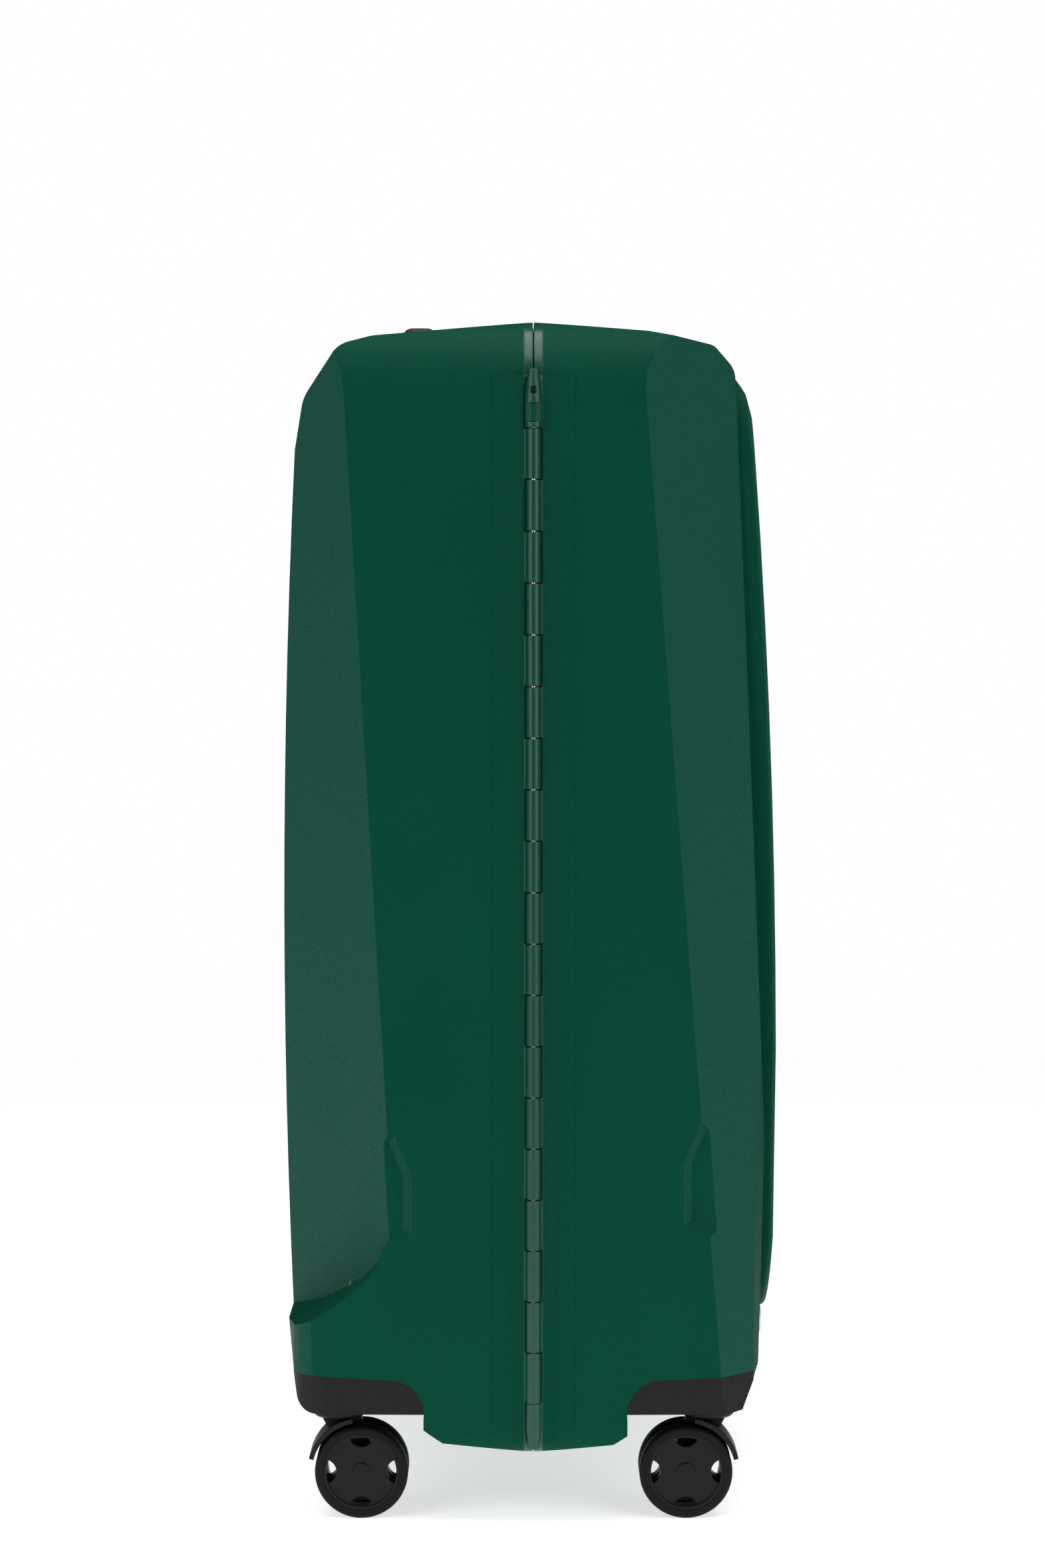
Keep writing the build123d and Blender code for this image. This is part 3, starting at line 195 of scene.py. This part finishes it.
def shell_material():
    """Moulded polypropylene: fine grain on the panels, twill on the bevels with a lighter green painted on them as
    light from the side lamps, smooth at the hinge.
    """
    m = Nodes("green_shell", SHELL_GREEN, 0.42, specular=0.12)
    vector, (x, y, z) = m.place()
    geometry = m.add("ShaderNodeNewGeometry")
    normal = m.add("ShaderNodeSeparateXYZ")
    m.link(geometry.outputs["True Normal"], normal.inputs[0])
    slope_x = m.math("ABSOLUTE", normal.outputs[0])
    slope_y = m.math("ABSOLUTE", normal.outputs[1])
    depth = m.math("ABSOLUTE", m.math("SUBTRACT", y, PARTING_Y))
    is_bevel = m.math("MULTIPLY", m.ramp(slope_x, 0.40, 0.44), m.ramp(slope_x, 0.90, 0.86))
    is_bevel = m.math("MULTIPLY", is_bevel, m.ramp(slope_y, 0.35, 0.45))
    is_bevel = m.math("MULTIPLY", is_bevel, m.ramp(depth, 0.055, 0.062))
    at_hinge = m.ramp(depth, 0.006, 0.0045)
    turns = 2 * math.pi / TWILL_PITCH
    along = m.math("MULTIPLY", m.math("ADD", m.math("MULTIPLY", depth, 1.15), z), turns)
    across = m.math("MULTIPLY", m.math("SUBTRACT", m.math("MULTIPLY", depth, 1.15), z), turns * 0.62)
    twill = m.math("MULTIPLY", m.math("SINE", along), 0.5)
    twill = m.math("MULTIPLY", twill, m.ramp(m.math("SINE", across), -1, 1, 0.35, 1.0))
    grain = m.noise(vector, GRAIN_SIZE, 3.0, 0.55)
    coarse = m.noise(vector, 0.09, 2.0)
    relief = m.math("MULTIPLY", grain, m.ramp(at_hinge, 0, 1, 1.0, 0.12))
    relief = m.math("ADD", relief, m.math("MULTIPLY", m.math("MULTIPLY", twill, is_bevel), 0.9))
    line = m.math("ABSOLUTE", m.math("SUBTRACT", depth, WITNESS_LINE))
    witness = m.math("MULTIPLY", m.ramp(line, 0.0, 0.0005, 1.0, 0.0), m.ramp(slope_x, 0.97, 0.99))
    relief = m.math("ADD", relief, m.math("MULTIPLY", witness, 0.6))
    tint = m.math("ADD", m.math("MULTIPLY", grain, 0.35), m.math("MULTIPLY", coarse, 0.65))
    panel = m.mix(tint, shade(SHELL_GREEN, 0.86), shade(SHELL_GREEN, 1.12))
    # the bevels take the lighter green, painted light from the side lamps, with the twill pattern over it
    bevel = m.mix(m.ramp(twill, -0.5, 0.5), shade(BEVEL_GREEN_PAINTED_LIGHT, 0.8), shade(BEVEL_GREEN_PAINTED_LIGHT, 1.25))
    m.link(m.mix(is_bevel, panel, bevel), m.shader.inputs["Base Color"])
    rough = m.math("ADD", m.ramp(coarse, 0.3, 0.7, 0.43, 0.50), m.math("MULTIPLY", at_hinge, -0.2))
    m.link(rough, m.shader.inputs["Roughness"])
    gloss = m.math("MAXIMUM", m.ramp(is_bevel, 0, 1, 0.035, 0.09), m.ramp(at_hinge, 0, 1, 0, 0.4))
    m.link(gloss, m.shader.inputs["Specular IOR Level"])
    m.bump(relief, 0.0005, 1.0, radius=0.0016)
    return m.material


def plastic_material(name, colour, roughness, grain=0.0006, depth=0.00008, specular=0.18, radius=0.0006):
    m = Nodes(name, colour, roughness, specular=specular)
    vector, _ = m.place()
    fine = m.noise(vector, grain, 3.0)
    patches = m.noise(vector, 0.03, 2.0)
    speckle = m.math("ADD", m.math("MULTIPLY", fine, 0.4), m.math("MULTIPLY", patches, 0.6))
    m.vary(speckle, colour, 0.75, 1.3)
    m.link(m.ramp(patches, 0.3, 0.7, roughness - 0.04, roughness + 0.05), m.shader.inputs["Roughness"])
    m.bump(fine, depth, 0.7, radius=radius)
    return m.material


def metal_material(name, colour, roughness, axis=2):
    """Drawn or plated metal, with fine lines along one axis."""
    m = Nodes(name, colour, roughness, metallic=1.0)
    vector, _ = m.place()
    mapping = m.add("ShaderNodeMapping")
    scale = [1.0, 1.0, 1.0]
    scale[axis] = 0.03
    mapping.inputs["Scale"].default_value = scale
    m.link(vector, mapping.inputs["Vector"])
    lines = m.noise(mapping.outputs[0], 0.0004, 3.0, 0.6)
    m.vary(lines, colour, 0.85, 1.1)
    m.link(m.ramp(lines, 0.3, 0.7, roughness * 0.8, roughness * 1.3), m.shader.inputs["Roughness"])
    m.bump(lines, 0.00002, 0.5)
    return m.material


def fabric_material(name, colour, pitch=FABRIC_PITCH, roughness=0.85):
    """Plain weave in two directions, set by the object coordinates x plus y and z."""
    m = Nodes(name, colour, roughness, specular=0.25)
    m.shader.inputs["Sheen Weight"].default_value = 0.35
    m.shader.inputs["Sheen Roughness"].default_value = 0.5
    vector, (x, y, z) = m.place()
    turns = 2 * math.pi / pitch
    first = m.math("SINE", m.math("MULTIPLY", m.math("ADD", x, y), turns))
    second = m.math("SINE", m.math("MULTIPLY", z, turns))
    weave = m.math("MULTIPLY", first, second)
    patches = m.noise(vector, 0.02, 3.0)
    threads = m.math("ADD", m.ramp(weave, -1, 1, 0.0, 0.5), m.math("MULTIPLY", patches, 0.5))
    m.vary(threads, colour, 0.7, 1.35)
    m.bump(weave, 0.0002, 0.6)
    return m.material


def tyre_material():
    m = Nodes("tyre", TYRE_BLACK, 0.6, specular=0.15)
    vector, _ = m.place()
    scuffs = m.noise(vector, 0.004, 4.0, 0.65)
    m.vary(scuffs, TYRE_BLACK, 0.7, 1.5)
    m.link(m.ramp(scuffs, 0.3, 0.7, 0.5, 0.68), m.shader.inputs["Roughness"])
    m.bump(m.noise(vector, 0.0008, 3.0), 0.0001, 0.6, radius=0.0008)
    return m.material


MATERIALS = {
    "green_shell": shell_material(),
    "green_trim": plastic_material("green_trim", (0.004, 0.060, 0.040), 0.35),
    "black_plastic": plastic_material("black_plastic", (0.0065, 0.0065, 0.0050), 0.5),
    "dark_plastic": plastic_material("dark_plastic", (0.012, 0.012, 0.012), 0.42),
    "fork_plastic": plastic_material("fork_plastic", (0.0065, 0.0065, 0.0058), 0.45),
    "wheel_plastic": plastic_material("wheel_plastic", (0.0045, 0.0047, 0.0040), 0.34, grain=0.001),
    "latch_plastic": plastic_material("latch_plastic", (0.014, 0.014, 0.014), 0.33),
    "grip_plastic": plastic_material("grip_plastic", (0.020, 0.020, 0.020), 0.5, grain=0.0008),
    "dial_plastic": plastic_material("dial_plastic", (0.09, 0.09, 0.09), 0.35),
    "tyre": tyre_material(),
    "rubber_seal": plastic_material("rubber_seal", (0.012, 0.012, 0.012), 0.65),
    "tube_aluminium": metal_material("tube_aluminium", (0.55, 0.56, 0.58), 0.32),
    "steel": metal_material("steel", (0.70, 0.70, 0.70), 0.22),
    "lock_metal": metal_material("lock_metal", (0.65, 0.65, 0.66), 0.25),
    "badge_metal": metal_material("badge_metal", (0.50, 0.51, 0.52), 0.35, axis=0),
    "lining_fabric": fabric_material("lining_fabric", (0.060, 0.070, 0.070)),
    "divider_fabric": fabric_material("divider_fabric", (0.045, 0.055, 0.055), 0.0016),
    "webbing": fabric_material("webbing", (0.018, 0.018, 0.019), 0.0022),
}


def dress_nodes():
    """Each CAD node gets the material of its slot in the record."""
    slots = {row["node"]: row["material_slot"] for row in frame["record"]["subparts"]}
    for name, node in frame["nodes"].items():
        material = MATERIALS[slots[name]]
        if not node.material_slots:
            node.data.materials.append(material)
        for place in node.material_slots:
            place.material = material


def new_piece(name, points, faces, slot_name, body):
    """Smooth mesh object from points and faces, riding on a body."""
    mesh = bpy.data.meshes.new(name)
    mesh.from_pydata(points, [], faces)
    shape = bmesh.new()
    shape.from_mesh(mesh)
    bmesh.ops.remove_doubles(shape, verts=shape.verts, dist=0.00005)
    bmesh.ops.recalc_face_normals(shape, faces=shape.faces)
    shape.to_mesh(mesh)
    shape.free()
    mesh.shade_smooth()
    mesh.materials.append(MATERIALS[slot_name])
    piece = bpy.data.objects.new(name, mesh)
    bpy.context.scene.collection.objects.link(piece)
    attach(piece, body)
    return piece


def grid_faces(columns, rows, closed=False):
    """Quads of a grid stored row after row, each of that many columns."""
    last = columns if closed else columns - 1
    return [(row * columns + place, row * columns + (place + 1) % columns,
             (row + 1) * columns + (place + 1) % columns, (row + 1) * columns + place)
            for row in range(rows - 1) for place in range(last)]


def tube_mesh(path, radius, sides=8):
    """Closed round tube along a closed path of points."""
    points = []
    count = len(path)
    for place, centre in enumerate(path):
        along = (path[(place + 1) % count] - path[place - 1]).normalized()
        first = along.cross(Vector((0, 1, 0))).normalized()
        second = along.cross(first)
        points += [centre + radius * (math.cos(turn) * first + math.sin(turn) * second)
                   for turn in (2 * math.pi * side / sides for side in range(sides))]
    faces = [(place * sides + side, place * sides + (side + 1) % sides,
              (place + 1) % count * sides + (side + 1) % sides, (place + 1) % count * sides + side)
             for place in range(count) for side in range(sides)]
    return points, faces


def node_tree(name):
    """Search tree of a CAD node's surface, in the row frame."""
    node = frame["nodes"][name]
    points = [node.matrix_world @ vertex.co for vertex in node.data.vertices]
    return BVHTree.FromPolygons(points, [tuple(face.vertices) for face in node.data.polygons])


def tray_ray(turn, lean, side):
    """Start and direction of a ray: turn goes round the half, lean goes from its floor to its rim."""
    start = Vector((0, PARTING_Y, SPINE_MIDDLE_Z + SPINE_HALF * math.sin(turn)))
    flat = Vector((math.cos(turn), 0, math.sin(turn)))
    return start, flat * math.sin(lean) + Vector((0, side * math.cos(lean), 0))


def rim_lean(tree, turn, side):
    """How far a ray can lean before it passes over the edge of the lining."""
    step = math.radians(1.0)
    lean = 0.0
    while lean < math.pi / 2 and tree.ray_cast(*tray_ray(turn, lean + step, side))[0] is not None:
        lean += step
    for _ in range(8):
        step /= 2
        if tree.ray_cast(*tray_ray(turn, lean + step, side))[0] is not None:
            lean += step
    return lean


def cloth_tray(half, side, body):
    """Lining as one sheet of cloth that follows the inside of the half, with small wrinkles and a hem."""
    tree = node_tree(half + "_lining")
    turns = [2 * math.pi * column / TRAY_COLUMNS for column in range(TRAY_COLUMNS)]
    leans = [rim_lean(tree, turn, side) for turn in turns]
    points = []
    for ring in range(TRAY_RINGS):
        part = ring / (TRAY_RINGS - 1)
        for turn, lean in zip(turns, leans):
            start, way = tray_ray(turn, lean * part, side)
            hit = tree.ray_cast(start, way)[0]
            crease = noise.noise(hit * 28) + 0.5 * noise.noise(hit * 75)
            calm = min(1.0, (1 - part) * 12)
            lift = CLOTH_OFF + WRINKLE_DEPTH * calm * max(0.0, 0.35 + crease)
            points.append(hit - way * lift)
    tray = new_piece(half + "_lining_cloth", points, grid_faces(TRAY_COLUMNS, TRAY_RINGS, True),
                     "lining_fabric", body)
    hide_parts(half + "_lining")
    edge = points[-TRAY_COLUMNS:]
    inward = [point - tray_ray(turn, lean, side)[1] * HEM_RADIUS * 1.2
              for point, turn, lean in zip(edge, turns, leans)]
    hem = new_piece(half + "_lining_hem", *tube_mesh(inward, HEM_RADIUS), "webbing", body)


def divider_pad():
    """Quilted padded board with rounded corners and a bound edge."""
    low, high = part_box("divider_board")
    middle_x, middle_z = (low[0] + high[0]) / 2, (low[2] + high[2]) / 2
    half_x, half_z = (high[0] - low[0]) / 2, (high[2] - low[2]) / 2
    inner_y, outer_y = high[1], low[1]
    middle_y = (inner_y + outer_y) / 2
    points = []
    for face_y in (inner_y, outer_y):
        for row in range(PAD_ROWS):
            up = half_z * math.sin(math.pi / 2 * (2 * row / (PAD_ROWS - 1) - 1))
            into = max(0.0, abs(up) - (half_z - PAD_CORNER))
            reach = half_x - PAD_CORNER + math.sqrt(max(0.0, PAD_CORNER ** 2 - into ** 2))
            for column in range(PAD_COLUMNS):
                across = reach * math.sin(math.pi / 2 * (2 * column / (PAD_COLUMNS - 1) - 1))
                margin = min(reach - abs(across), half_z - abs(up))
                fill = math.sqrt(max(0.0, 1 - (1 - min(1.0, margin / EDGE_ROUND)) ** 2))
                first = abs(math.sin(math.pi * (across + up) / QUILT_PITCH))
                second = abs(math.sin(math.pi * (across - up) / QUILT_PITCH))
                dip = QUILT_DEPTH * max(math.exp(-first * 9), math.exp(-second * 9))
                way = 1 if face_y == inner_y else -1
                half_y = (inner_y - outer_y) / 2 * fill - (dip if way > 0 else 0)
                points.append(Vector((middle_x + across, middle_y + way * max(0.0, half_y), middle_z + up)))
    side_faces = grid_faces(PAD_COLUMNS, PAD_ROWS)
    shift = PAD_COLUMNS * PAD_ROWS
    faces = side_faces + [tuple(number + shift for number in reversed(face)) for face in side_faces]
    pad = new_piece("divider_pad", points, faces, "divider_fabric", "front_case")
    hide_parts("divider_board")
    edge = []
    for place in range(BINDING_POINTS):
        turn = 2 * math.pi * place / BINDING_POINTS
        across, up = math.cos(turn), math.sin(turn)
        scale = 1 / max(abs(across) / half_x, abs(up) / half_z)
        corner = Vector((abs(across * scale) - half_x + PAD_CORNER, abs(up * scale) - half_z + PAD_CORNER))
        spot = Vector((across * scale, 0, up * scale))
        if corner.x > 0 and corner.y > 0:
            corner = corner.normalized() * PAD_CORNER
            spot = Vector((math.copysign(half_x - PAD_CORNER + corner.x, across), 0,
                           math.copysign(half_z - PAD_CORNER + corner.y, up)))
        edge.append(Vector((middle_x, middle_y, middle_z)) + spot * BINDING_INSET)
    new_piece("divider_binding", *tube_mesh(edge, HEM_RADIUS * 1.2), "webbing", "front_case")


def webbing_straps():
    """Four lengths of webbing that lie on the floor of the back half, with a little slack."""
    low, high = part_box("packing_straps")
    node = frame["nodes"]["packing_straps"]
    spots = [node.matrix_world @ vertex.co for vertex in node.data.vertices]
    inner_x = min(abs(spot.x) for spot in spots)
    heights = sorted({round(spot.z, 4) for spot in spots})
    bands = ((heights[0], heights[1]), (heights[-2], heights[-1]))
    middle_y = (low[1] + high[1]) / 2
    points, faces = [], []
    for hand in (-1, 1):
        for low_z, high_z in bands:
            base = len(points)
            for row in range(STRAP_ROWS):
                z = low_z + (high_z - low_z) * row / (STRAP_ROWS - 1)
                for column in range(STRAP_COLUMNS):
                    part = column / (STRAP_COLUMNS - 1)
                    x = hand * (inner_x + (high[0] - inner_x) * part)
                    slack = STRAP_SLACK * math.sin(math.pi * part) * math.sin(7 * part + 30 * z)
                    points.append(Vector((x, middle_y - slack, z)))
            faces += [tuple(number + base for number in face)
                      for face in grid_faces(STRAP_COLUMNS, STRAP_ROWS)]
    straps = new_piece("packing_webbing", points, faces, "webbing", "back_case")
    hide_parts("packing_straps")


def add_camera():
    """Long lens, square on to the hinge side."""
    data = bpy.data.cameras.new("camera")
    data.lens = CAMERA_LENS
    data.sensor_width = SENSOR
    camera = bpy.data.objects.new("camera", data)
    bpy.context.scene.collection.objects.link(camera)
    camera.location = CAMERA_PLACE
    look = Vector((math.cos(CAMERA_PITCH), 0, -math.sin(CAMERA_PITCH)))
    camera.rotation_euler = look.to_track_quat("-Z", "Y").to_euler()
    bpy.context.scene.camera = camera
    bpy.context.scene.view_settings.view_transform = "Standard"


def add_area(name, place, target, size, power, colour=(1, 1, 1)):
    data = bpy.data.lights.new(name, "AREA")
    data.shape = "RECTANGLE"
    data.size, data.size_y = size
    data.energy = power
    data.color = colour
    light = bpy.data.objects.new(name, data)
    bpy.context.scene.collection.objects.link(light)
    light.location = place
    light.rotation_euler = (Vector(target) - Vector(place)).to_track_quat("-Z", "Y").to_euler()


def add_world():
    """White to look at, dim as a light, so that the dark plastic isn't veiled by reflections."""
    world = bpy.data.worlds.new("studio")
    bpy.context.scene.world = world
    world.use_nodes = True
    tree = world.node_tree
    seen = tree.nodes["Background"]
    seen.inputs["Color"].default_value = (1, 1, 1, 1)
    seen.inputs["Strength"].default_value = 1.0
    fill = tree.nodes.new("ShaderNodeBackground")
    fill.inputs["Color"].default_value = (1, 1, 1, 1)
    fill.inputs["Strength"].default_value = WORLD_FILL
    path = tree.nodes.new("ShaderNodeLightPath")
    mix = tree.nodes.new("ShaderNodeMixShader")
    tree.links.new(path.outputs["Is Camera Ray"], mix.inputs[0])
    tree.links.new(fill.outputs[0], mix.inputs[1])
    tree.links.new(seen.outputs[0], mix.inputs[2])
    tree.links.new(mix.outputs[0], tree.nodes["World Output"].inputs["Surface"])


def add_floor():
    """Pale round floor that fades out into the white surroundings."""
    mesh = bpy.data.meshes.new("floor")
    shape = bmesh.new()
    bmesh.ops.create_circle(shape, cap_ends=True, segments=96, radius=FLOOR_RADIUS)
    shape.to_mesh(mesh)
    shape.free()
    floor = bpy.data.objects.new("floor", mesh)
    bpy.context.scene.collection.objects.link(floor)
    m = Nodes("floor", FLOOR_GREY, 0.7, specular=0.2)
    vector, (x, y, z) = m.place()
    m.vary(m.noise(vector, 0.5, 2.0), FLOOR_GREY, 0.99, 1.01)
    m.shader.inputs["Emission Color"].default_value = (1, 1, 1, 1)
    m.shader.inputs["Emission Strength"].default_value = FLOOR_GLOW
    reach = m.math("SQRT", m.math("ADD", m.math("MULTIPLY", x, x), m.math("MULTIPLY", y, y)))
    fade = m.ramp(reach, FLOOR_FADE, FLOOR_RADIUS * 0.95, smooth=True)
    clear = m.add("ShaderNodeBsdfTransparent")
    mix = m.add("ShaderNodeMixShader")
    m.link(fade, mix.inputs[0])
    m.link(m.shader.outputs[0], mix.inputs[1])
    m.link(clear.outputs[0], mix.inputs[2])
    m.link(mix.outputs[0], m.tree.nodes["Material Output"].inputs["Surface"])
    mesh.materials.append(m.material)


def add_lights():
    """Two large soft lights beside the camera, two weak ones behind and one overhead."""
    for name, side in (("left", 1), ("right", -1)):
        add_area(name + "_light", (-1.9, side * 1.9, 1.15), LIGHTS_AIM, (2.0, 2.4), SIDE_POWER)
        add_area(name + "_rim", (0.9, side * 2.2, 1.0), LIGHTS_AIM, (1.6, 2.2), RIM_POWER)
    add_area("top_light", (-0.3, 0, 2.3), LIGHTS_AIM, (2.4, 2.0), TOP_POWER)


dress_nodes()
cloth_tray("back", 1, "back_case")
cloth_tray("front", -1, "front_case")
divider_pad()
webbing_straps()
add_camera()
add_world()
add_floor()
add_lights()
